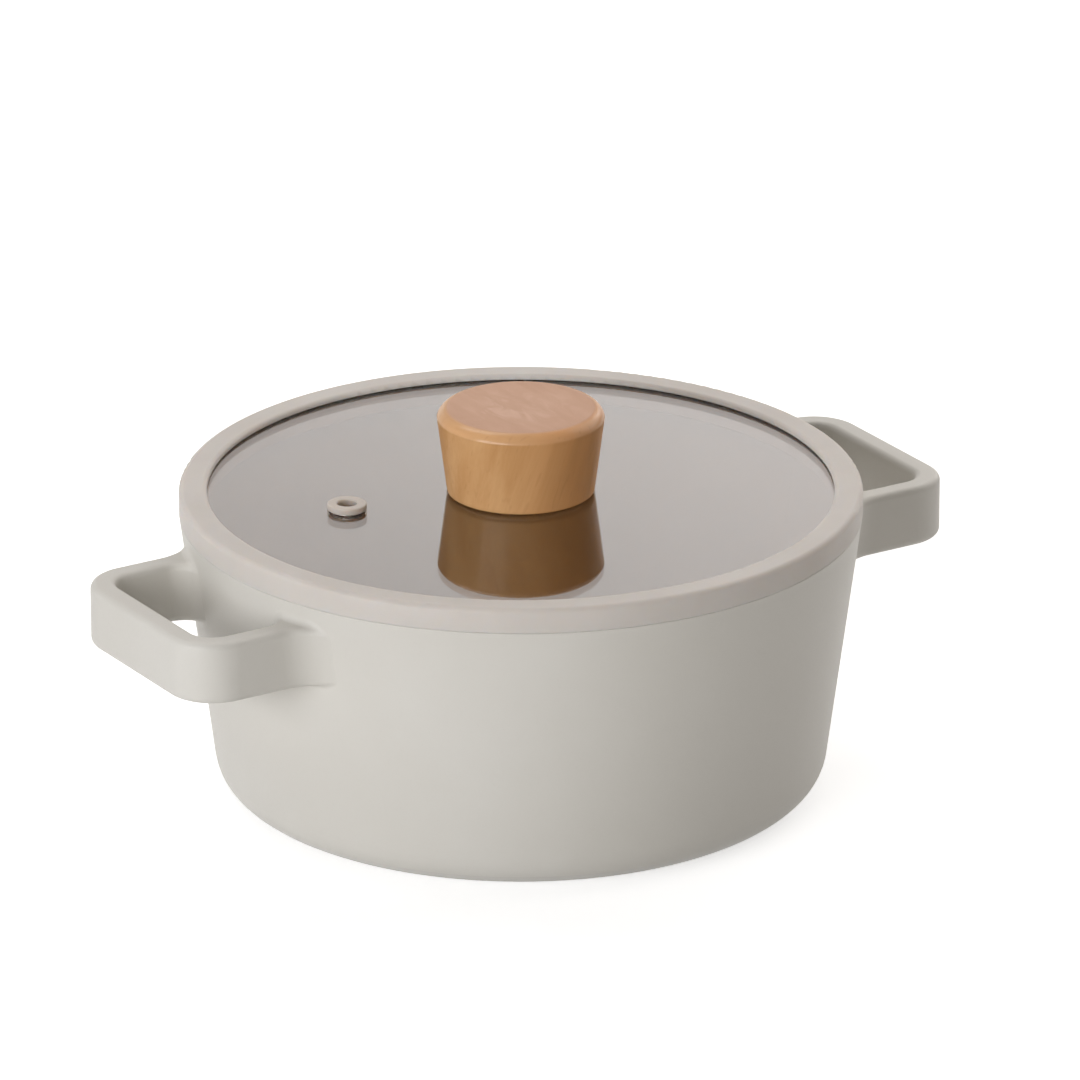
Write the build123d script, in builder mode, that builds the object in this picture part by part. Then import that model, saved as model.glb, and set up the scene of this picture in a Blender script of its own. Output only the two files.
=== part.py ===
from build123d import *
import os
from math import cos, hypot, radians, sin, tan

# Two-handled low casserole, nominal 24 cm, with a silicone-rimmed flat glass lid.
# Millimetres. Z up, origin on the table under the middle of the base, handles along X.

# Pot casting
pot_height = 105.3
mouth_radius = 125.0
wall_draft = 7.5
wall_thickness = 4.2
floor_thickness = 6.0
base_round = 14.0
floor_round = 15.0
mouth_edge_round = 0.4

# Cast loop handles
handle_reach = 163.7
handle_width = 87.8
handle_drop = 7.4
handle_height = 23.1
handle_bar_thickness = 9.4
handle_arm_thickness = 9.2
handle_corner_round = 18.0
handle_root_flare = 19.0
handle_inner_flare_share = 0.3
handle_edge_round = 2.4
handle_root_round = 2.5
handle_bury = 0.3

# Induction plate in the base
plate_radius = 82.0
plate_thickness = 1.5
plate_gap = 0.3
plate_edge_round = 0.4
plate_hole_radius = 3.0
plate_ring_pitch = 20.0
plate_first_ring = 24.0
plate_ring_holes = 6
plate_rings = 3

# Lid glass and silicone rim
rim_height = 9.4
rim_top_round = 2.0
rim_foot_chamfer = 0.3
lip_width = 10.4
lip_thickness = 1.95
lip_edge_flat = 0.25
lip_gap = 0.25
lip_undercut = 3.0
glass_thickness = 4.5
glass_grip = 5.0
glass_edge_gap = 0.2
glass_edge_round = 0.8
skirt_depth = 5.0
skirt_clearance = 1.2
skirt_thickness = 4.6
skirt_edge_round = 1.0

# Steam vent eyelet
vent_offset = 66.3
vent_bearing = 165.8
vent_flange_radius = 7.2
vent_flange_height = 2.5
vent_flange_round = 0.6
vent_flange_undercut = 0.4
vent_bore_radius = 3.6
vent_bore_lip = 0.4
vent_neck_radius = 5.0
vent_neck_gap = 0.15
vent_heel_radius = 6.6
vent_heel_height = 2.0
vent_heel_chamfer = 0.8

# Knob and its fixing stack
knob_foot_radius = 27.0
knob_widest_radius = 30.65
knob_height = 31.7
knob_bevel_height = 3.6
knob_bevel_width = 3.8
knob_bevel_bulge = 5.0
knob_arris_round = 0.5
knob_foot_round = 0.3
gasket_thickness = 1.0
gasket_recess = 0.6
gasket_inset = 3.0
gasket_side_gap = 0.3
centre_hole_radius = 5.5
shank_radius = 2.5
shank_clearance = 0.3
thread_gap = 0.1
insert_wall = 2.0
insert_length = 15.0
insert_seat_gap = 0.1
insert_end_gap = 2.5
insert_groove_depth = 0.5
insert_groove_width = 1.5
insert_groove_pitch = 4.5
bush_flange_radius = 11.0
bush_flange_thickness = 1.2
bush_collar_gap = 0.2
washer_radius = 9.0
washer_thickness = 1.5
washer_edge_round = 0.5
thread_engagement = 12.0
screw_head_radius = 4.8
screw_head_height = 3.2
screw_head_round = 1.2
cross_slot_length = 5.2
cross_slot_width = 1.1
cross_slot_depth = 1.6

# How close an edge or corner must lie to a height to be picked for rounding
pick = 0.01
# The same for the middle of a handle root edge and the wall it lies on
root_pick = 0.05

# Heights and radii that follow from the values above
draft_run = tan(radians(wall_draft))
base_radius = mouth_radius - pot_height * draft_run
handle_top = pot_height - handle_drop
handle_bottom = handle_top - handle_height
# The wall leans out, so the handles meet a wider circle at their top than at their bottom
handle_seats = [(z, base_radius + z * draft_run - handle_bury) for z in (handle_bottom, handle_top)]
opening_reach = handle_reach - handle_bar_thickness
opening_half_width = handle_width / 2 - handle_arm_thickness
opening_inner_flare = handle_inner_flare_share * (opening_reach - handle_seats[1][1])
opening_corner_round = handle_corner_round - (handle_bar_thickness + handle_arm_thickness) / 2
mouth_inner_radius = mouth_radius - wall_thickness
rim_top = pot_height + rim_height
lip_edge_round = lip_thickness - lip_edge_flat
lip_bottom = rim_top - lip_thickness
glass_top = lip_bottom - lip_gap
glass_bottom = glass_top - glass_thickness
lip_radius = mouth_radius - lip_width
glass_radius = lip_radius + glass_grip
skirt_top_radius = mouth_inner_radius - skirt_clearance
skirt_bottom_radius = skirt_top_radius - skirt_depth * draft_run
skirt_inner_radius = skirt_top_radius - skirt_thickness
vent_x = vent_offset * cos(radians(vent_bearing))
vent_y = vent_offset * sin(radians(vent_bearing))
vent_hole_radius = vent_neck_radius + vent_neck_gap
# The gasket sits in a shallow recess, so the knob's foot stops just above the glass
knob_seat = glass_top + gasket_thickness
knob_foot = knob_seat - gasket_recess
gasket_radius = knob_foot_radius - gasket_inset
recess_radius = gasket_radius + gasket_side_gap
knob_top = knob_foot + knob_height
bevel_foot = knob_top - knob_bevel_height
knob_face_radius = knob_widest_radius - knob_bevel_width
insert_radius = shank_radius + thread_gap + insert_wall
insert_hole_radius = insert_radius + insert_seat_gap
shank_hole_radius = shank_radius + shank_clearance
bush_bottom = glass_bottom - bush_flange_thickness
washer_bottom = bush_bottom - washer_thickness
screw_head_bottom = washer_bottom - screw_head_height

os.makedirs("parts", exist_ok=True)

# Pot casting: handle loops first, then the turned wall over them, then the hollow
with BuildPart() as pot_body:
    for seat_height, seat_radius in handle_seats:
        with BuildSketch(Plane.XY.offset(seat_height)) as handle_plan:
            Rectangle(2 * handle_reach, handle_width)
            fillet(handle_plan.vertices(), handle_corner_round)
            Circle(seat_radius)
            on_seat = [
                v for v in handle_plan.vertices()
                if abs(abs(v.Y) - handle_width / 2) < pick and abs(v.X) < seat_radius
            ]
            fillet(on_seat, handle_root_flare)
    loft(ruled=True)
    for side in (1, -1):
        for seat_height, seat_radius in handle_seats:
            with BuildSketch(Plane.XY.offset(seat_height)) as opening_plan:
                with Locations((side * opening_reach / 2, 0)):
                    Rectangle(opening_reach, 2 * opening_half_width)
                fillet(opening_plan.vertices(), opening_corner_round)
                Circle(seat_radius, mode=Mode.SUBTRACT)
                beside_seat = [
                    v for v in opening_plan.vertices()
                    if abs(abs(v.Y) - opening_half_width) < pick and abs(v.X) < seat_radius
                ]
                fillet(beside_seat, opening_inner_flare)
        loft(ruled=True, mode=Mode.SUBTRACT)
    loops = pot_body.edges().filter_by_position(Axis.Z, handle_top - pick, handle_top + pick)
    loops += pot_body.edges().filter_by_position(Axis.Z, handle_bottom - pick, handle_bottom + pick)
    fillet(loops, handle_edge_round)
    with BuildSketch(Plane.XZ) as outer_wall:
        with BuildLine():
            Polyline(
                (0, 0),
                (base_radius, 0),
                (mouth_radius, pot_height),
                (0, pot_height),
                close=True,
            )
        make_face()
        outside = outer_wall.vertices().sort_by(Axis.X)
        fillet(outside[-1], mouth_edge_round)
        fillet(outer_wall.vertices().group_by(Axis.Y)[0].sort_by(Axis.X)[-1], base_round)
    revolve(axis=Axis.Z)
    # Cast-in blend all round each handle root, where the loop surfaces run into the wall
    roots = []
    for edge in pot_body.edges():
        middle = edge.position_at(0.5)
        wall_radius = base_radius + middle.Z * draft_run
        on_wall = abs(hypot(middle.X, middle.Y) - wall_radius) < root_pick
        if on_wall and handle_bottom - pick < middle.Z < handle_top + pick:
            roots.append(edge)
    fillet(roots, handle_root_round)
    with BuildSketch(Plane.XZ) as hollow:
        with BuildLine():
            Polyline(
                (0, floor_thickness),
                (base_radius + floor_thickness * draft_run - wall_thickness, floor_thickness),
                (mouth_inner_radius, pot_height),
                (0, pot_height),
                close=True,
            )
        make_face()
        fillet(hollow.vertices().group_by(Axis.Y)[0].sort_by(Axis.X)[-1], floor_round)
    revolve(axis=Axis.Z, mode=Mode.SUBTRACT)
    mouth_inner = pot_body.edges().filter_by(GeomType.CIRCLE).filter_by_position(
        Axis.Z, pot_height - pick, pot_height + pick
    ).sort_by(SortBy.RADIUS)[0]
    fillet(mouth_inner, mouth_edge_round)
    with BuildSketch(Plane.XY):
        Circle(plate_radius + plate_gap)
    extrude(amount=plate_thickness, mode=Mode.SUBTRACT)
pot_body.part.label = "pot_body"
export_step(pot_body.part, "parts/pot_body.step")

# Induction plate: perforated disc flush with the underside of the base
with BuildPart() as induction_plate:
    with BuildSketch(Plane.XY):
        Circle(plate_radius)
        for ring in range(plate_rings):
            with PolarLocations(plate_first_ring + ring * plate_ring_pitch, plate_ring_holes * (ring + 1)):
                Circle(plate_hole_radius, mode=Mode.SUBTRACT)
    extrude(amount=plate_thickness)
    rim_edge = induction_plate.edges().filter_by(GeomType.CIRCLE).filter_by_position(
        Axis.Z, -pick, pick
    ).sort_by(SortBy.RADIUS)[-1]
    fillet(rim_edge, plate_edge_round)
induction_plate.part.label = "induction_plate"
export_step(induction_plate.part, "parts/induction_plate.step")

# Lid glass: flat disc with ground edge, centre hole and vent hole
with BuildPart() as lid_glass:
    with BuildSketch(Plane.XY.offset(glass_bottom)):
        Circle(glass_radius)
        Circle(centre_hole_radius, mode=Mode.SUBTRACT)
        with Locations((vent_x, vent_y)):
            Circle(vent_hole_radius, mode=Mode.SUBTRACT)
    extrude(amount=glass_thickness)
    ground = [e for e in lid_glass.edges().filter_by(GeomType.CIRCLE) if e.radius > glass_radius - pick]
    fillet(ground, glass_edge_round)
lid_glass.part.label = "lid_glass"
export_step(lid_glass.part, "parts/lid_glass.step")

# Silicone rim: channel round the glass, foot on the mouth, skirt into the mouth
with BuildPart() as silicone_rim:
    with BuildSketch(Plane.XZ) as rim_section:
        with BuildLine():
            Polyline(
                (mouth_radius, pot_height),
                (mouth_radius, rim_top),
                (lip_radius, rim_top),
                (lip_radius, lip_bottom),
                (lip_radius + lip_undercut, glass_top),
                (glass_radius + glass_edge_gap, glass_top),
                (glass_radius + glass_edge_gap, glass_bottom),
                (skirt_inner_radius, glass_bottom),
                (skirt_inner_radius, pot_height - skirt_depth),
                (skirt_bottom_radius, pot_height - skirt_depth),
                (skirt_top_radius, pot_height),
                close=True,
            )
        make_face()
        fillet(rim_section.vertices().group_by(Axis.Y)[-1].sort_by(Axis.X)[-1], rim_top_round)
        fillet(rim_section.vertices().group_by(Axis.Y)[-1].sort_by(Axis.X)[0], lip_edge_round)
        fillet(rim_section.vertices().group_by(Axis.Y)[0], skirt_edge_round)
        foot_corner = rim_section.vertices().group_by(Axis.X)[-1].sort_by(Axis.Y)[0]
        chamfer(foot_corner, rim_foot_chamfer)
    revolve(axis=Axis.Z)
silicone_rim.part.label = "silicone_rim"
export_step(silicone_rim.part, "parts/silicone_rim.step")

# Vent eyelet: flange above the glass, neck through it, heel below it
vent_plane = Plane(origin=(vent_x, vent_y, 0), x_dir=(1, 0, 0), z_dir=(0, -1, 0))
vent_top = glass_top + vent_flange_height
vent_bottom = glass_bottom - vent_heel_height
with BuildPart() as vent_grommet:
    with BuildSketch(vent_plane):
        with BuildLine():
            Polyline(
                (vent_bore_radius, vent_bottom),
                (vent_heel_radius - vent_heel_chamfer, vent_bottom),
                (vent_heel_radius, vent_bottom + vent_heel_chamfer),
                (vent_heel_radius, glass_bottom),
                (vent_neck_radius, glass_bottom),
                (vent_neck_radius, glass_top),
                (vent_flange_radius - vent_flange_undercut, glass_top),
                (vent_flange_radius, glass_top + vent_flange_undercut),
                (vent_flange_radius, vent_top - vent_flange_round),
            )
            RadiusArc(
                (vent_flange_radius, vent_top - vent_flange_round),
                (vent_flange_radius - vent_flange_round, vent_top),
                -vent_flange_round,
            )
            Polyline(
                (vent_flange_radius - vent_flange_round, vent_top),
                (vent_bore_radius + vent_bore_lip, vent_top),
                (vent_bore_radius, vent_top - vent_bore_lip),
                (vent_bore_radius, vent_bottom),
            )
        make_face()
    revolve(axis=Axis((vent_x, vent_y, 0), (0, 0, 1)))
vent_grommet.part.label = "vent_grommet"
export_step(vent_grommet.part, "parts/vent_grommet.step")

# Knob: turned beech, wider at the top, bulged bevel with eased arrises, seat for the gasket
with BuildPart() as lid_knob:
    with BuildSketch(Plane.XZ) as knob_section:
        with BuildLine():
            Polyline(
                (knob_face_radius, knob_top),
                (0, knob_top),
                (0, knob_seat + insert_length + insert_end_gap),
                (insert_hole_radius, knob_seat + insert_length + insert_end_gap),
                (insert_hole_radius, knob_seat),
                (recess_radius, knob_seat),
                (recess_radius, knob_foot),
                (knob_foot_radius, knob_foot),
                (knob_widest_radius, bevel_foot),
            )
            RadiusArc(
                (knob_widest_radius, bevel_foot),
                (knob_face_radius, knob_top),
                -knob_bevel_bulge,
            )
        make_face()
        fillet(knob_section.vertices().group_by(Axis.Y)[0].sort_by(Axis.X)[-1], knob_foot_round)
        fillet(knob_section.vertices().sort_by(Axis.X)[-1], knob_arris_round)
        fillet(knob_section.vertices().group_by(Axis.Y)[-1].sort_by(Axis.X)[-1], knob_arris_round)
    revolve(axis=Axis.Z)
lid_knob.part.label = "lid_knob"
export_step(lid_knob.part, "parts/lid_knob.step")

# Threaded insert in the knob, with two retaining grooves
with BuildPart() as knob_insert:
    with BuildSketch(Plane.XY.offset(knob_seat)):
        Circle(insert_radius)
        Circle(shank_radius + thread_gap, mode=Mode.SUBTRACT)
    extrude(amount=insert_length)
    for groove in (1, 2):
        with BuildSketch(Plane.XY.offset(knob_seat + groove * insert_groove_pitch)):
            Circle(insert_radius)
            Circle(insert_radius - insert_groove_depth, mode=Mode.SUBTRACT)
        extrude(amount=insert_groove_width, mode=Mode.SUBTRACT)
knob_insert.part.label = "knob_insert"
export_step(knob_insert.part, "parts/knob_insert.step")

# Silicone gasket between the knob and the glass
with BuildPart() as knob_gasket:
    with BuildSketch(Plane.XY.offset(glass_top)):
        Circle(gasket_radius)
        Circle(centre_hole_radius, mode=Mode.SUBTRACT)
    extrude(amount=gasket_thickness)
knob_gasket.part.label = "knob_gasket"
export_step(knob_gasket.part, "parts/knob_gasket.step")

# Silicone bush: washer under the glass with a collar lining the centre hole
with BuildPart() as glass_bush:
    with BuildSketch(Plane.XY.offset(bush_bottom)):
        Circle(bush_flange_radius)
    extrude(amount=bush_flange_thickness)
    with BuildSketch(Plane.XY.offset(glass_bottom)):
        Circle(centre_hole_radius - bush_collar_gap)
    extrude(amount=glass_thickness)
    with BuildSketch(Plane.XY.offset(bush_bottom)):
        Circle(shank_hole_radius)
    extrude(amount=bush_flange_thickness + glass_thickness, mode=Mode.SUBTRACT)
glass_bush.part.label = "glass_bush"
export_step(glass_bush.part, "parts/glass_bush.step")

# Stainless washer under the bush
with BuildPart() as cup_washer:
    with BuildSketch(Plane.XY.offset(washer_bottom)):
        Circle(washer_radius)
        Circle(shank_hole_radius, mode=Mode.SUBTRACT)
    extrude(amount=washer_thickness)
    washer_edge = cup_washer.edges().filter_by(GeomType.CIRCLE).filter_by_position(
        Axis.Z, washer_bottom - pick, washer_bottom + pick
    ).sort_by(SortBy.RADIUS)[-1]
    fillet(washer_edge, washer_edge_round)
cup_washer.part.label = "cup_washer"
export_step(cup_washer.part, "parts/cup_washer.step")

# Pan-head screw from below into the insert, with a cross recess
with BuildPart() as knob_screw:
    with BuildSketch(Plane.XY.offset(screw_head_bottom)):
        Circle(screw_head_radius)
    extrude(amount=screw_head_height)
    head_edge = knob_screw.edges().filter_by_position(
        Axis.Z, screw_head_bottom - pick, screw_head_bottom + pick
    )
    fillet(head_edge, screw_head_round)
    with BuildSketch(Plane.XY.offset(washer_bottom)):
        Circle(shank_radius)
    extrude(amount=knob_seat + thread_engagement - washer_bottom)
    tip_edge = knob_screw.edges().sort_by(Axis.Z)[-1]
    chamfer(tip_edge, shank_clearance)
    with BuildSketch(Plane.XY.offset(screw_head_bottom)):
        Rectangle(cross_slot_length, cross_slot_width)
        Rectangle(cross_slot_width, cross_slot_length)
    extrude(amount=cross_slot_depth, mode=Mode.SUBTRACT)
knob_screw.part.label = "knob_screw"
export_step(knob_screw.part, "parts/knob_screw.step")
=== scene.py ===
"""Looks of a low two-handled casserole with a silicone-rimmed glass lid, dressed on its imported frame."""

import logging
import math
from dataclasses import dataclass
from enum import Enum

import bpy
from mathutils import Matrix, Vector

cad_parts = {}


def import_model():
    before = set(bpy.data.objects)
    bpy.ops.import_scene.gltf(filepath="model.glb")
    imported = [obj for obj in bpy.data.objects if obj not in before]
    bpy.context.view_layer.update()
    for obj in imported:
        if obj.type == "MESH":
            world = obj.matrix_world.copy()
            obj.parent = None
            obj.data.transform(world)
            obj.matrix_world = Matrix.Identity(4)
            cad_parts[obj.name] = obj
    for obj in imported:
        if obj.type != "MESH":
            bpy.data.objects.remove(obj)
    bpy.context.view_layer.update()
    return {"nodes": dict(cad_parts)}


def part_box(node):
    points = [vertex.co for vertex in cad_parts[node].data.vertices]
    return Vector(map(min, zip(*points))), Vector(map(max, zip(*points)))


log = logging.getLogger("casserole")

Colour = tuple[float, float, float, float]
Pair = tuple[float, float]
Triple = tuple[float, float, float]
Socket = bpy.types.NodeSocket

WHITE: Colour = (1.0, 1.0, 1.0, 1.0)

# Turn of the wood's grain from upright about each axis, in degrees
GRAIN_LEAN: Triple = (9.0, 15.0, 0.0)


class Op(Enum):
    """What a Math node works out."""

    ADD = "ADD"
    SUBTRACT = "SUBTRACT"
    MULTIPLY = "MULTIPLY"
    LARGER = "MAXIMUM"
    ROOT = "SQRT"
    SINE = "SINE"
    BELOW = "LESS_THAN"
    ABOVE = "GREATER_THAN"


class Fade(Enum):
    """How a value runs from one end of its range to the other."""

    SOFT = "SMOOTHSTEP"
    EVEN = "LINEAR"


class Layout(Enum):
    """How a pattern is laid on the object's own coordinates."""

    PLAIN = "NONE"
    SHRUNK_THEN_TURNED = "POINT"
    TURNED_THEN_DRAWN_OUT = "TEXTURE"


@dataclass(frozen=True)
class Pattern:
    """A noise pattern on the object's own coordinates.

    The scale is in patches per metre, the detail in octaves of finer noise, and the span is the part of the
    noise's values that is put to use. A layout other than the plain one turns the pattern, in degrees about
    each axis. It either shrinks the coordinates by the stretch or draws the pattern out that many times.
    """

    scale: float
    detail: float = 2.0
    bend: float = 0.0
    span: Pair = (0.3, 0.7)
    layout: Layout = Layout.PLAIN
    turn: Triple = (0.0, 0.0, 0.0)
    stretch: Triple = (1.0, 1.0, 1.0)


class Tree:
    """A node tree with short calls to add and join its nodes."""

    # Where a Mix node keeps its share, its two colours and its mixed colour
    MIX_INPUTS = (0, 6, 7)
    MIX_OUTPUT = 2

    def __init__(self, tree: bpy.types.NodeTree) -> None:
        """Takes over a node tree as it is."""
        self.tree = tree

    def add(self, kind: str, **settings: object) -> bpy.types.Node:
        """Adds a node.

        Args:
            kind: Blender's name of the node's type.
            settings: Properties of the node, set by name.

        Returns:
            The new node.
        """
        node = self.tree.nodes.new(kind)
        for key, value in settings.items():
            setattr(node, key, value)
        return node

    def feed(self, socket: Socket, value: object) -> None:
        """Joins an output to a socket, or sets the socket's own value.

        Args:
            socket: The input socket.
            value: An output socket, a number, a vector or a colour.
        """
        if isinstance(value, bpy.types.NodeSocket):
            self.tree.links.new(value, socket)
        else:
            socket.default_value = value

    def math(self, operation: Op, first: object, second: object = 0.0, clamp: bool = False) -> Socket:
        """Adds a Math node.

        Args:
            operation: What the node works out.
            first: The first number or socket.
            second: The second number or socket.
            clamp: Whether the result is held between 0 and 1.

        Returns:
            The result's socket.
        """
        node = self.add("ShaderNodeMath", operation=operation.value, use_clamp=clamp)
        self.feed(node.inputs[0], first)
        self.feed(node.inputs[1], second)
        return node.outputs[0]

    def spread(self, value: Socket, span: Pair, to: Pair = (0.0, 1.0), fade: Fade = Fade.SOFT) -> Socket:
        """Maps a range of values to another range.

        Args:
            value: The socket to map.
            span: Start and end of the source range.
            to: Results at the start and at the end.
            fade: How the result runs in between.

        Returns:
            The mapped socket.
        """
        node = self.add("ShaderNodeMapRange", interpolation_type=fade.value)
        for socket, number in zip(node.inputs, (value, *span, *to)):
            self.feed(socket, number)
        return node.outputs[0]

    def mix(self, share: Socket, first: object, second: object) -> Socket:
        """Mixes two colours.

        Args:
            share: How much of the second colour is used.
            first: The first colour or socket.
            second: The second colour or socket.

        Returns:
            The mixed colour's socket.
        """
        node = self.add("ShaderNodeMix", data_type="RGBA")
        for index, value in zip(self.MIX_INPUTS, (share, first, second)):
            self.feed(node.inputs[index], value)
        return node.outputs[self.MIX_OUTPUT]

    def shader(self, kind: str, **values: object) -> Socket:
        """Adds a shader.

        Args:
            kind: Blender's name of the shader's type.
            values: Socket names, with underscores for spaces, and what feeds them.

        Returns:
            The shader's output.
        """
        node = self.add(kind)
        for key, value in values.items():
            self.feed(node.inputs[key.replace("_", " ")], value)
        return node.outputs[0]

    def blend(self, share: Socket, first: Socket, second: Socket) -> Socket:
        """Mixes two shaders.

        Args:
            share: How much of the second shader is used.
            first: The first shader.
            second: The second shader.

        Returns:
            The mixed shader's output.
        """
        node = self.add("ShaderNodeMixShader")
        for socket, value in zip(node.inputs, (share, first, second)):
            self.feed(socket, value)
        return node.outputs[0]

    def background_rays(self) -> Socket:
        """Tells where the camera sees the surroundings straight, in gloss or through glass.

        Returns:
            A socket that is 1 there and 0 elsewhere.
        """
        path = self.add("ShaderNodeLightPath")
        share = path.outputs["Is Camera Ray"]
        for name in ("Is Glossy Ray", "Is Transmission Ray"):
            share = self.math(Op.LARGER, share, path.outputs[name])
        return share

    def end(self, kind: str, shader: Socket) -> None:
        """Joins the finished shader to a new output node."""
        self.feed(self.add(kind).inputs[0], shader)


class Graph(Tree):
    """A new material's node tree, with patterns and relief on the object's own coordinates."""

    def __init__(self, name: str) -> None:
        """Starts an empty material.

        Args:
            name: The material's name.
        """
        self.material = bpy.data.materials.new(name)
        self.material.use_nodes = True
        super().__init__(self.material.node_tree)
        self.tree.nodes.clear()
        coordinates = self.add("ShaderNodeTexCoord")
        self.place = coordinates.outputs["Object"]
        self.facing = coordinates.outputs["Normal"]

    def laid(self, pattern: Pattern) -> Socket:
        """Lays a pattern's coordinates on the object.

        Args:
            pattern: The pattern, with its layout, turn and stretch.

        Returns:
            The coordinates' socket.
        """
        if pattern.layout is Layout.PLAIN:
            return self.place
        node = self.add("ShaderNodeMapping", vector_type=pattern.layout.value)
        self.feed(node.inputs["Vector"], self.place)
        self.feed(node.inputs["Rotation"], [math.radians(turn) for turn in pattern.turn])
        self.feed(node.inputs["Scale"], pattern.stretch)
        return node.outputs[0]

    def noise(self, pattern: Pattern) -> Socket:
        """Adds a noise pattern.

        Args:
            pattern: The pattern.

        Returns:
            The noise's value, about 0.5 on average.
        """
        node = self.add("ShaderNodeTexNoise")
        self.feed(node.inputs["Vector"], self.laid(pattern))
        self.feed(node.inputs["Scale"], pattern.scale)
        self.feed(node.inputs["Detail"], pattern.detail)
        self.feed(node.inputs["Distortion"], pattern.bend)
        return node.outputs[0]

    def shares(self, pattern: Pattern, to: Pair = (0.0, 1.0)) -> Socket:
        """Gives a pattern's noise with its span mapped to another range."""
        return self.spread(self.noise(pattern), pattern.span, to)

    def bump(self, height: Socket, depth: float, under: Socket | None = None) -> Socket:
        """Adds relief to the surface normal.

        Args:
            height: The relief, from 0 to 1.
            depth: Depth of the relief in metres.
            under: A normal that the relief is laid on.

        Returns:
            The normal's socket.
        """
        node = self.add("ShaderNodeBump")
        self.feed(node.inputs["Distance"], depth)
        self.feed(node.inputs["Height"], height)
        if under is not None:
            self.feed(node.inputs["Normal"], under)
        return node.outputs[0]

    def eased(self, radius: float, samples: int = 8) -> Socket:
        """Gives a normal that rolls softly over sharp edges.

        Args:
            radius: How far from an edge the roll begins, in metres.
            samples: How many places near the edge are averaged.

        Returns:
            The normal's socket.
        """
        node = self.add("ShaderNodeBevel", samples=samples)
        self.feed(node.inputs["Radius"], radius)
        return node.outputs[0]

    def split(self, vector: Socket) -> tuple[Socket, Socket, Socket]:
        """Splits a vector into its x, y and z.

        Args:
            vector: The vector's socket.

        Returns:
            The three sockets.
        """
        node = self.add("ShaderNodeSeparateXYZ")
        self.feed(node.inputs[0], vector)
        x, y, z = node.outputs
        return x, y, z

    def axis_parts(self) -> tuple[Socket, Socket, Socket, Socket]:
        """Measures where a point lies about the upright axis.

        Returns:
            Its x, y and z, and its distance from the axis.
        """
        x, y, z = self.split(self.place)
        squares = self.math(Op.ADD, self.math(Op.MULTIPLY, x, x), self.math(Op.MULTIPLY, y, y))
        return x, y, z, self.math(Op.ROOT, squares)

    def upward(self) -> Socket:
        """Gives 1 on faces that look straight up and 0 on upright ones."""
        return self.split(self.facing)[2]

    def finished(self, shader: Socket) -> bpy.types.Material:
        """Ends the tree with a shader and gives the material."""
        self.end("ShaderNodeOutputMaterial", shader)
        return self.material

    def surface(self, **values: object) -> bpy.types.Material:
        """Ends the tree with a Principled shader fed by these values, and gives the material."""
        return self.finished(self.shader("ShaderNodeBsdfPrincipled", **values))


@dataclass(frozen=True)
class CoatedCasting:
    """Matt greige ceramic coating of the casting, glossier inside, with a turned bare base ring.

    The wall's outside has base_radius at the table and leans out by draft_run for each metre of height. The
    inside begins above floor_height, and faces below base_height are the turned ring. Lengths are in metres,
    and the ring_rate of the turning marks is in radians for each metre.
    """

    name: str = "coated_casting"
    tone: Colour = (0.600, 0.580, 0.535, 1.0)
    tone_shift: Colour = (0.620, 0.602, 0.560, 1.0)
    speck: Colour = (0.420, 0.390, 0.350, 1.0)
    inside: Colour = (0.560, 0.540, 0.500, 1.0)
    turned: Colour = (0.720, 0.710, 0.690, 1.0)
    cloud: Pattern = Pattern(11.0, detail=3.0, span=(0.35, 0.65))
    grain: Pattern = Pattern(1500.0)
    peel: Pattern = Pattern(420.0, detail=1.0)
    speck_span: Pair = (0.55, 0.80)
    speck_shares: Pair = (0.0, 0.06)
    roughness: Pair = (0.47, 0.57)
    inside_polish: float = 0.18
    grain_depth: float = 0.00001
    peel_depth: float = 0.00003
    ring_depth: float = 0.00002
    ring_rate: float = 9000.0
    base_radius: float = 0.1111
    draft_run: float = 0.1317
    half_wall: float = 0.0021
    floor_height: float = 0.003
    base_height: float = 0.00012

    def build(self) -> bpy.types.Material:
        """Makes the material.

        Returns:
            The finished material.
        """
        graph = Graph(self.name)
        _, _, z, radius = graph.axis_parts()
        lean = graph.math(Op.MULTIPLY, z, self.draft_run)
        mid_wall = graph.math(Op.ADD, lean, self.base_radius - self.half_wall)
        within = graph.math(Op.BELOW, radius, mid_wall)
        inside = graph.math(Op.MULTIPLY, within, graph.math(Op.ABOVE, z, self.floor_height))
        base = graph.math(Op.BELOW, z, self.base_height)
        grain = graph.noise(self.grain)
        colour = graph.mix(graph.shares(self.cloud), self.tone, self.tone_shift)
        colour = graph.mix(graph.spread(grain, self.speck_span, self.speck_shares), colour, self.speck)
        colour = graph.mix(inside, colour, self.inside)
        colour = graph.mix(base, colour, self.turned)
        rough = graph.spread(grain, self.grain.span, self.roughness)
        rough = graph.math(Op.SUBTRACT, rough, graph.math(Op.MULTIPLY, inside, self.inside_polish))
        rings = graph.math(Op.SINE, graph.math(Op.MULTIPLY, radius, self.ring_rate))
        relief = graph.bump(grain, self.grain_depth)
        relief = graph.bump(graph.noise(self.peel), self.peel_depth, relief)
        relief = graph.bump(graph.math(Op.MULTIPLY, rings, base), self.ring_depth, relief)
        return graph.surface(Base_Color=colour, Roughness=rough, Metallic=base, Normal=relief)


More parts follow.
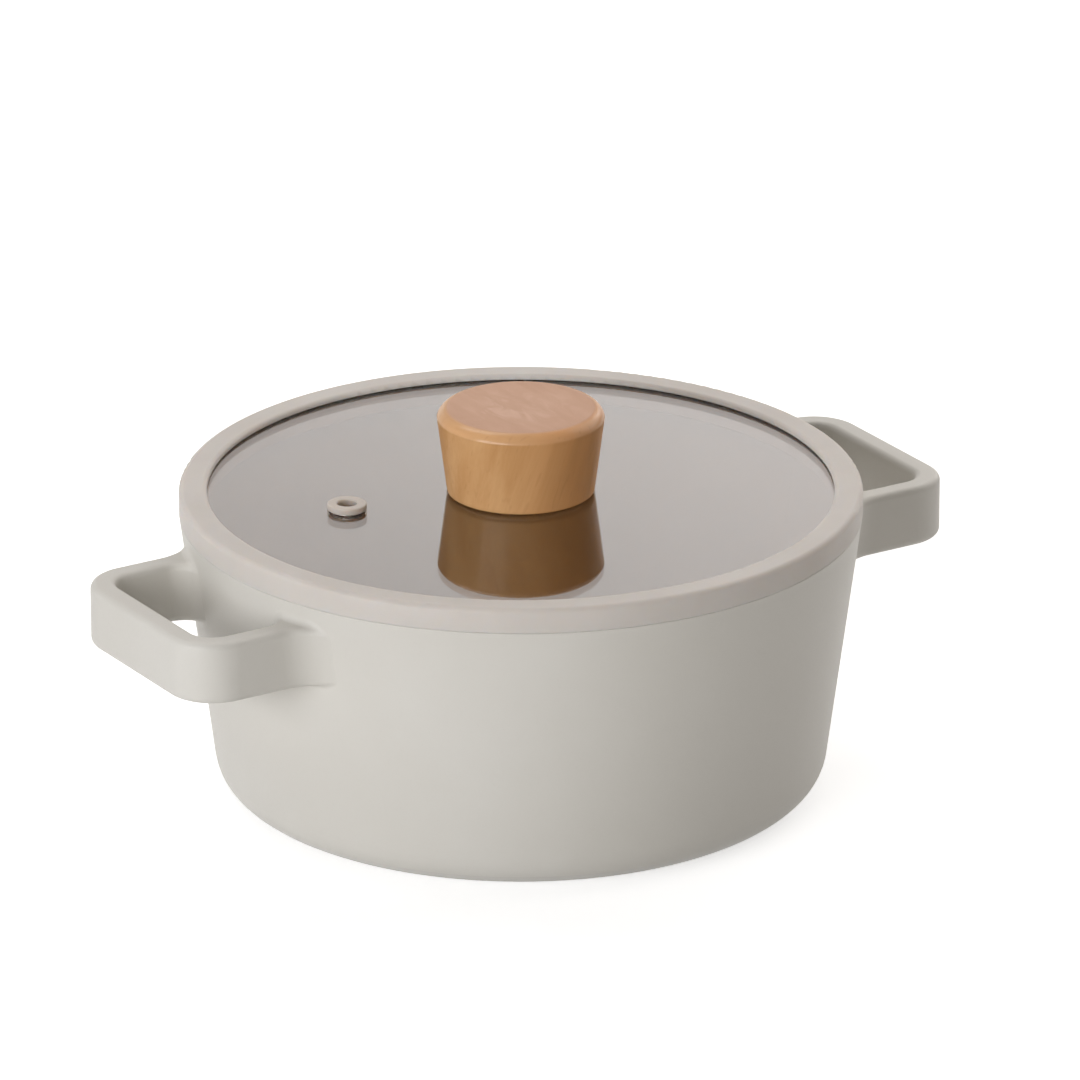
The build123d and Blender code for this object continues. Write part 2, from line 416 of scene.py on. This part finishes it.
@dataclass(frozen=True)
class Silicone:
    """Matt moulded silicone, a little pinker than the casting, that lets some light in."""

    name: str = "silicone"
    tone: Colour = (0.572, 0.532, 0.494, 1.0)
    bloom: Colour = (0.610, 0.572, 0.536, 1.0)
    cloud: Pattern = Pattern(26.0, detail=3.0)
    skin: Pattern = Pattern(2200.0)
    skin_depth: float = 0.000012
    roughness: Pair = (0.57, 0.68)
    inner_glow: float = 0.45
    glow_reach: float = 0.004
    glow_tint: Triple = (1.0, 0.68, 0.44)

    def build(self) -> bpy.types.Material:
        """Makes the material.

        Returns:
            The finished material.
        """
        graph = Graph(self.name)
        skin = graph.noise(self.skin)
        return graph.surface(
            Base_Color=graph.mix(graph.shares(self.cloud), self.tone, self.bloom),
            Roughness=graph.spread(skin, self.skin.span, self.roughness),
            Normal=graph.bump(skin, self.skin_depth),
            Subsurface_Weight=self.inner_glow,
            Subsurface_Radius=self.glow_tint,
            Subsurface_Scale=self.glow_reach,
        )


def along_grain(scale: float, detail: float, length: float, span: Pair, bend: float = 0.0) -> Pattern:
    """Lays a pattern along the leaning grain of the wood.

    Args:
        scale: Patches per metre across the grain.
        detail: Octaves of finer noise.
        length: How many times longer patches are along the grain than across it.
        span: The part of the noise's values that is put to use.
        bend: Distortion of the pattern.

    Returns:
        The pattern.
    """
    layout = Layout.TURNED_THEN_DRAWN_OUT
    return Pattern(scale, detail, bend, span, layout, turn=GRAIN_LEAN, stretch=(1.0, 1.0, length))


@dataclass(frozen=True)
class TurnedBeech:
    """Oiled beech: soft bands that lean across the side, short flecks, and pale end grain on top, with
    painted shade and sheen.

    A facing is how far a face looks up, from 0 on an upright side to 1 on the flat top. A painted shade, a
    deeper orange, comes in towards the knob's side away from the key lamp, along a direction seen from
    above. Lengths are in metres.
    """

    name: str = "beech"
    light: Colour = (0.650, 0.375, 0.172, 1.0)
    dark: Colour = (0.500, 0.250, 0.092, 1.0)
    painted_shade: Colour = (0.700, 0.316, 0.112, 1.0)
    bevel: Colour = (0.690, 0.385, 0.180, 1.0)
    fleck: Colour = (0.360, 0.170, 0.062, 1.0)
    # The end-grain colours hold a painted sheen: a pinkish veil of reflected light on the flat top
    end_and_sheen_light: Colour = (0.706, 0.450, 0.322, 1.0)
    end_and_sheen_dark: Colour = (0.652, 0.402, 0.280, 1.0)
    end_and_sheen_pale: Colour = (0.825, 0.570, 0.440, 1.0)

    # Side grain
    bands: Pattern = along_grain(95.0, detail=2.0, length=14.0, span=(0.34, 0.68), bend=0.3)
    lines: Pattern = along_grain(420.0, detail=1.0, length=22.0, span=(0.35, 0.70))
    fibre: Pattern = along_grain(1300.0, detail=2.0, length=30.0, span=(0.3, 0.7))
    flecks: Pattern = along_grain(800.0, detail=0.0, length=7.0, span=(0.68, 0.78))
    band_tones: Pair = (0.05, 0.60)
    line_tones: Pair = (0.0, 0.12)
    fibre_tones: Pair = (-0.04, 0.06)
    fleck_shares: Pair = (0.0, 0.12)
    bevel_facing: Pair = (0.15, 0.45)
    bevel_shares: Pair = (0.0, 0.75)
    # Painted shade: a deeper orange laid on the knob's side away from the key lamp, streaked by the bands
    shade_side: Pair = (0.85, -0.53)
    shade_reach: Pair = (-0.010, 0.028)
    shade_shares: Pair = (0.0, 0.78)
    shade_band_span: Pair = (0.32, 0.68)
    shade_band_shares: Pair = (1.0, 0.5)

    # End grain, its colours lifted by a painted sheen of reflected light
    streaks: Pattern = Pattern(
        scale=150.0,
        bend=0.5,
        span=(0.35, 0.68),
        layout=Layout.SHRUNK_THEN_TURNED,
        turn=(0.0, 0.0, 6.0),
        stretch=(1.0, 0.16, 0.1),
    )
    pores: Pattern = Pattern(1500.0, detail=1.0, span=(0.4, 0.8))
    blotches: Pattern = Pattern(
        scale=130.0,
        detail=3.0,
        bend=1.2,
        span=(0.42, 0.72),
        layout=Layout.SHRUNK_THEN_TURNED,
        turn=(0.0, 0.0, -20.0),
        stretch=(1.0, 0.4, 0.1),
    )
    streak_tones: Pair = (0.0, 0.7)
    pore_tones: Pair = (0.0, 0.3)
    blotch_shares: Pair = (0.1, 1.0)
    pale_radii: Pair = (0.006, 0.024)
    pale_shares: Pair = (0.75, 0.12)
    end_facing: Pair = (0.90, 0.995)

    # Oil and wear
    roughness: Pair = (0.36, 0.48)
    fibre_depth: float = 0.000008
    worn_edge: float = 0.0014
    oil_roughness: float = 0.19
    oil_facing: Pair = (-0.08, 0.15)
    oil_shares: Pair = (0.25, 0.60)
    dry_facing: Pair = (0.85, 0.99)
    dry_shares: Pair = (1.0, 0.20)

    def build(self) -> bpy.types.Material:
        """Makes the material.

        Returns:
            The finished material.
        """
        graph = Graph(self.name)
        x, y, _, radius = graph.axis_parts()
        up = graph.upward()
        fibre = graph.noise(self.fibre)
        side = self.side_grain(graph, x, y, up, fibre)
        # The flat top's colour holds a painted sheen of reflected light
        end = self.end_grain_and_sheen(graph, radius)
        edge = graph.eased(self.worn_edge)
        oil = graph.spread(up, self.oil_facing, self.oil_shares)
        oil = graph.math(Op.MULTIPLY, oil, graph.spread(up, self.dry_facing, self.dry_shares))
        return graph.surface(
            Base_Color=graph.mix(graph.spread(up, self.end_facing), side, end),
            Roughness=graph.spread(fibre, self.fibre.span, self.roughness),
            Normal=graph.bump(fibre, self.fibre_depth, edge),
            Specular_IOR_Level=0.0,
            Coat_Weight=oil,
            Coat_Roughness=self.oil_roughness,
            Coat_Normal=edge,
        )

    def side_grain(self, graph: Graph, x: Socket, y: Socket, up: Socket, fibre: Socket) -> Socket:
        """Makes the colour of the side and the bevel, with a painted shade on the side away from the key
        lamp.

        Args:
            graph: The material's graph.
            x: Place along the x axis.
            y: Place along the y axis.
            up: How far a face looks up.
            fibre: The fine fibre's noise.

        Returns:
            The colour's socket.
        """
        bands = graph.noise(self.bands)
        tone = graph.spread(bands, self.bands.span, self.band_tones)
        tone = graph.math(Op.ADD, tone, graph.shares(self.lines, self.line_tones))
        tone = graph.math(Op.ADD, tone, graph.spread(fibre, self.fibre.span, self.fibre_tones), True)
        side = graph.mix(tone, self.light, self.dark)
        side = graph.mix(graph.spread(up, self.bevel_facing, self.bevel_shares), side, self.bevel)
        # Painted shade: a deeper orange towards the knob's side away from the key lamp, broken up by the
        # bands
        side_x, side_y = self.shade_side
        across = graph.math(Op.ADD, graph.math(Op.MULTIPLY, x, side_x), graph.math(Op.MULTIPLY, y, side_y))
        painted_shade = graph.spread(across, self.shade_reach, self.shade_shares)
        streaky = graph.spread(bands, self.shade_band_span, self.shade_band_shares)
        side = graph.mix(graph.math(Op.MULTIPLY, painted_shade, streaky), side, self.painted_shade)
        return graph.mix(graph.shares(self.flecks, self.fleck_shares), side, self.fleck)

    def end_grain_and_sheen(self, graph: Graph, radius: Socket) -> Socket:
        """Makes the colour of the flat top: end grain, lifted by a painted sheen of reflected light.

        Args:
            graph: The material's graph.
            radius: Distance from the knob's axis.

        Returns:
            The colour's socket.
        """
        streaks = graph.shares(self.streaks, self.streak_tones)
        tone = graph.math(Op.ADD, streaks, graph.shares(self.pores, self.pore_tones), True)
        end = graph.mix(tone, self.end_and_sheen_light, self.end_and_sheen_dark)
        blotches = graph.shares(self.blotches, self.blotch_shares)
        pale = graph.math(Op.MULTIPLY, blotches, graph.spread(radius, self.pale_radii, self.pale_shares))
        return graph.mix(pale, end, self.end_and_sheen_pale)


@dataclass(frozen=True)
class TintedGlass:
    """Tempered glass, clear above its middle height and tinted brown, a little unevenly, below it."""

    middle: float
    name: str = "tinted_glass"
    clear: Colour = (0.970, 0.960, 0.945, 1.0)
    tint: Colour = (0.300, 0.150, 0.055, 1.0)
    tint_shift: Colour = (0.330, 0.170, 0.065, 1.0)
    drift: Pattern = Pattern(
        scale=30.0,
        detail=3.0,
        bend=0.6,
        layout=Layout.SHRUNK_THEN_TURNED,
        turn=(0.0, 0.0, 35.0),
        stretch=(1.0, 0.35, 1.0),
    )
    ior: float = 1.52

    def build(self) -> bpy.types.Material:
        """Makes the material.

        Returns:
            The finished material.
        """
        graph = Graph(self.name)
        _, _, z = graph.split(graph.place)
        under = graph.mix(graph.shares(self.drift), self.tint, self.tint_shift)
        colour = graph.mix(graph.math(Op.BELOW, z, self.middle), self.clear, under)
        return graph.surface(Base_Color=colour, Roughness=0.0, IOR=self.ior, Transmission_Weight=1.0)


@dataclass(frozen=True)
class BrushedSteel:
    """Stainless steel with a straight brushed grain."""

    name: str
    brush_scale: float = 900.0
    brush_detail: float = 3.0
    brush_stretch: Triple = (0.03, 1.0, 1.0)
    brush_depth: float = 0.00001
    tone: Colour = (0.560, 0.550, 0.535, 1.0)
    dark: Colour = (0.470, 0.460, 0.450, 1.0)
    roughness: Pair = (0.24, 0.40)

    def build(self) -> bpy.types.Material:
        """Makes the material.

        Returns:
            The finished material.
        """
        graph = Graph(self.name)
        pattern = Pattern(
            self.brush_scale,
            self.brush_detail,
            layout=Layout.SHRUNK_THEN_TURNED,
            stretch=self.brush_stretch,
        )
        brush = graph.noise(pattern)
        return graph.surface(
            Base_Color=graph.mix(graph.spread(brush, pattern.span), self.dark, self.tone),
            Roughness=graph.spread(brush, pattern.span, self.roughness),
            Metallic=1.0,
            Normal=graph.bump(brush, self.brush_depth),
        )


@dataclass(frozen=True)
class MachinedBrass:
    """Turned brass with fine tool rings."""

    name: str = "brass"
    tone: Colour = (0.720, 0.520, 0.220, 1.0)
    dark: Colour = (0.560, 0.380, 0.140, 1.0)
    rings: Pattern = Pattern(2500.0, layout=Layout.SHRUNK_THEN_TURNED, stretch=(0.04, 0.04, 1.0))
    ring_depth: float = 0.00001
    roughness: float = 0.3

    def build(self) -> bpy.types.Material:
        """Makes the material.

        Returns:
            The finished material.
        """
        graph = Graph(self.name)
        rings = graph.noise(self.rings)
        return graph.surface(
            Base_Color=graph.mix(graph.spread(rings, self.rings.span), self.dark, self.tone),
            Roughness=self.roughness,
            Metallic=1.0,
            Normal=graph.bump(rings, self.ring_depth),
        )


def dress(node: bpy.types.Object, material: bpy.types.Material) -> None:
    """Gives a CAD node its finish.

    Args:
        node: The CAD node's object.
        material: The finish.
    """
    node.data.materials.clear()
    node.data.materials.append(material)
    log.info("dressed %s in %s", node.name, material.name)


@dataclass
class Pot:
    """The casting with both handles, and the plate in its base."""

    nodes: dict[str, bpy.types.Object]
    casting: CoatedCasting = CoatedCasting()
    plate: BrushedSteel = BrushedSteel("plate_steel")

    def dress(self) -> None:
        """Gives the casting and the plate their finishes."""
        dress(self.nodes["pot_body"], self.casting.build())
        dress(self.nodes["induction_plate"], self.plate.build())


@dataclass
class Lid:
    """The glass, its silicone rim and eyelet, and the knob with its fixings."""

    nodes: dict[str, bpy.types.Object]
    silicone: Silicone = Silicone()
    eyelet: Silicone = Silicone(
        "eyelet_silicone",
        tone=(0.545, 0.492, 0.445, 1.0),
        bloom=(0.580, 0.528, 0.480, 1.0),
    )
    beech: TurnedBeech = TurnedBeech()
    brass: MachinedBrass = MachinedBrass()
    steel: BrushedSteel = BrushedSteel("fastener_steel", brush_scale=2400.0)

    def dress(self) -> None:
        """Gives every piece of the lid its finish."""
        low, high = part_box("lid_glass")
        dress(self.nodes["lid_glass"], TintedGlass((low[2] + high[2]) / 2).build())
        dress(self.nodes["vent_grommet"], self.eyelet.build())
        silicone = self.silicone.build()
        for name in ("silicone_rim", "knob_gasket", "glass_bush"):
            dress(self.nodes[name], silicone)
        dress(self.nodes["lid_knob"], self.beech.build())
        dress(self.nodes["knob_insert"], self.brass.build())
        steel = self.steel.build()
        for name in ("cup_washer", "knob_screw"):
            dress(self.nodes[name], steel)


@dataclass
class Softbox:
    """A studio lamp aimed at the pot, placed by its bearing from the camera.

    Angles are in degrees and lengths in metres. A lamp with a lean is brighter towards one corner.
    """

    name: str
    bearing: float
    elevation: float
    distance: float
    width: float
    height: float
    radiance: float
    tint: Triple
    lean: Pair | None = None
    fade_reach: float = 0.7
    fade_strengths: Pair = (0.3, 1.7)
    aim: Triple = (0.0, 0.0, 0.07)

    def build(self, heading: float) -> None:
        """Makes the lamp.

        Args:
            heading: The camera's turn about the upright axis, in degrees.
        """
        angle = math.radians(heading - 90.0 + self.bearing)
        rise = math.radians(self.elevation)
        away = Vector((math.cos(angle) * math.cos(rise), math.sin(angle) * math.cos(rise), math.sin(rise)))
        data = bpy.data.lights.new(self.name, "AREA")
        data.shape = "RECTANGLE"
        data.size = self.width
        data.size_y = self.height
        data.energy = self.radiance * math.pi * self.width * self.height
        data.color = self.tint
        if self.lean is not None:
            self.shade(data)
        lamp = bpy.data.objects.new(self.name, data)
        lamp.location = Vector(self.aim) + away * self.distance
        lamp.rotation_euler = (-away).to_track_quat("-Z", "Y").to_euler()
        lamp.visible_camera = False
        bpy.context.scene.collection.objects.link(lamp)
        log.info("placed the %s lamp", self.name)

    def shade(self, data: bpy.types.AreaLight) -> None:
        """Makes the lamp's face brighter towards one corner.

        Args:
            data: The lamp's data.
        """
        data.use_nodes = True
        tree = Tree(data.node_tree)
        glow = next(node for node in data.node_tree.nodes if node.type == "EMISSION")
        slope = tree.add("ShaderNodeVectorMath", operation="DOT_PRODUCT")
        tree.feed(slope.inputs[0], tree.add("ShaderNodeNewGeometry").outputs["Parametric"])
        tree.feed(slope.inputs[1], (*self.lean, 0.0))
        middle = sum(self.lean) / 2.0
        span = (middle - self.fade_reach, middle + self.fade_reach)
        strength = tree.spread(slope.outputs["Value"], span, self.fade_strengths, Fade.EVEN)
        tree.feed(glow.inputs["Strength"], strength)


LAMPS = (
    Softbox(
        "key", bearing=-38.0, elevation=13.0, distance=2.6, width=2.0, height=1.2,
        radiance=6.55, tint=(0.978, 0.983, 1.0),
    ),
    Softbox(
        "front", bearing=0.0, elevation=15.0, distance=2.8, width=1.2, height=1.0,
        radiance=1.46, tint=(1.0, 0.94, 0.84),
    ),
    Softbox(
        "fill", bearing=60.0, elevation=25.0, distance=2.6, width=1.5, height=1.2,
        radiance=0.34, tint=(1.0, 0.84, 0.62),
    ),
    Softbox(
        "back", bearing=180.0, elevation=21.5, distance=2.4, width=3.2, height=1.4,
        radiance=0.56, tint=(1.0, 0.95, 0.93), lean=(-5.0, -5.0),
    ),
    Softbox(
        "back high", bearing=180.0, elevation=60.0, distance=2.6, width=1.6, height=1.6,
        radiance=1.15, tint=(1.0, 0.965, 0.935),
    ),
    Softbox(
        "back right", bearing=132.0, elevation=36.0, distance=2.6, width=2.8, height=2.2,
        radiance=1.62, tint=(1.0, 0.96, 0.93),
    ),
    Softbox(
        "back left", bearing=-135.0, elevation=60.0, distance=2.6, width=1.3, height=1.3,
        radiance=3.45, tint=(1.0, 0.965, 0.935),
    ),
)


@dataclass
class Studio:
    """Floor, white surroundings, soft lamps and the camera.

    The floor lies floor_gap below the base, so that the two never share a plane. Its own glow makes it look
    white: glow_near round the pot, where the lamps light it too, rising to full white over glow_radii.
    """

    heading: float = -31.96
    camera_place: Triple = (-1.89115, -3.04439, 1.48168)
    camera_tilt: float = 68.8147
    lens: float = 350.0
    sensor_width: float = 36.0
    ambient: float = 0.02
    floor_size: float = 30.0
    floor_gap: float = 0.0002
    floor_tone: Colour = (0.80, 0.80, 0.80, 1.0)
    floor_shift: Colour = (0.82, 0.82, 0.82, 1.0)
    floor_cloud: Pattern = Pattern(3.0)
    glow_near: float = 0.62
    glow_radii: Pair = (0.5, 1.8)

    def build(self) -> None:
        """Sets up everything round the pot."""
        self.floor()
        self.surroundings()
        for lamp in LAMPS:
            lamp.build(self.heading)
        self.camera()
        bpy.context.scene.view_settings.view_transform = "Standard"

    def surroundings(self) -> None:
        """Makes the world: white to look at, and only a faint light."""
        world = bpy.data.worlds.new("surroundings")
        bpy.context.scene.world = world
        world.use_nodes = True
        world.node_tree.nodes.clear()
        tree = Tree(world.node_tree)
        faint = tree.shader("ShaderNodeBackground", Color=WHITE, Strength=self.ambient)
        white = tree.shader("ShaderNodeBackground", Color=WHITE, Strength=1.0)
        tree.end("ShaderNodeOutputWorld", tree.blend(tree.background_rays(), faint, white))

    def floor(self) -> None:
        """Makes the pale floor, white to look at but for the shadow, and clear when seen from below."""
        bpy.ops.object.select_all(action="DESELECT")
        bpy.ops.mesh.primitive_plane_add(size=self.floor_size)
        bpy.ops.transform.translate(value=(0.0, 0.0, -self.floor_gap))
        bpy.ops.object.transform_apply(location=True)
        floor = bpy.context.object
        floor.name = "floor"
        floor.data.materials.append(self.floor_paint())

    def floor_paint(self) -> bpy.types.Material:
        """Makes the floor's material.

        Returns:
            The finished material.
        """
        graph = Graph("floor")
        tone = graph.mix(graph.noise(self.floor_cloud), self.floor_tone, self.floor_shift)
        paint = graph.shader("ShaderNodeBsdfDiffuse", Color=tone)
        *_, radius = graph.axis_parts()
        strength = graph.spread(radius, self.glow_radii, (self.glow_near, 1.0))
        strength = graph.math(Op.MULTIPLY, graph.background_rays(), strength)
        lit = graph.add("ShaderNodeAddShader")
        graph.feed(lit.inputs[0], paint)
        graph.feed(lit.inputs[1], graph.shader("ShaderNodeEmission", Strength=strength))
        from_below = graph.add("ShaderNodeNewGeometry").outputs["Backfacing"]
        clear = graph.shader("ShaderNodeBsdfTransparent")
        return graph.finished(graph.blend(from_below, lit.outputs[0], clear))

    def camera(self) -> None:
        """Makes the camera at the photograph's place."""
        data = bpy.data.cameras.new("camera")
        data.lens = self.lens
        data.sensor_width = self.sensor_width
        camera = bpy.data.objects.new("camera", data)
        camera.location = self.camera_place
        camera.rotation_euler = (math.radians(self.camera_tilt), 0.0, math.radians(self.heading))
        bpy.context.scene.collection.objects.link(camera)
        bpy.context.scene.camera = camera


def main() -> None:
    """Loads the frame, dresses the pot and the lid, and sets up the studio."""
    logging.basicConfig(level=logging.INFO, format="%(message)s")
    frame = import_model()
    Pot(frame["nodes"]).dress()
    Lid(frame["nodes"]).dress()
    Studio().build()


if __name__ == "__main__":
    main()
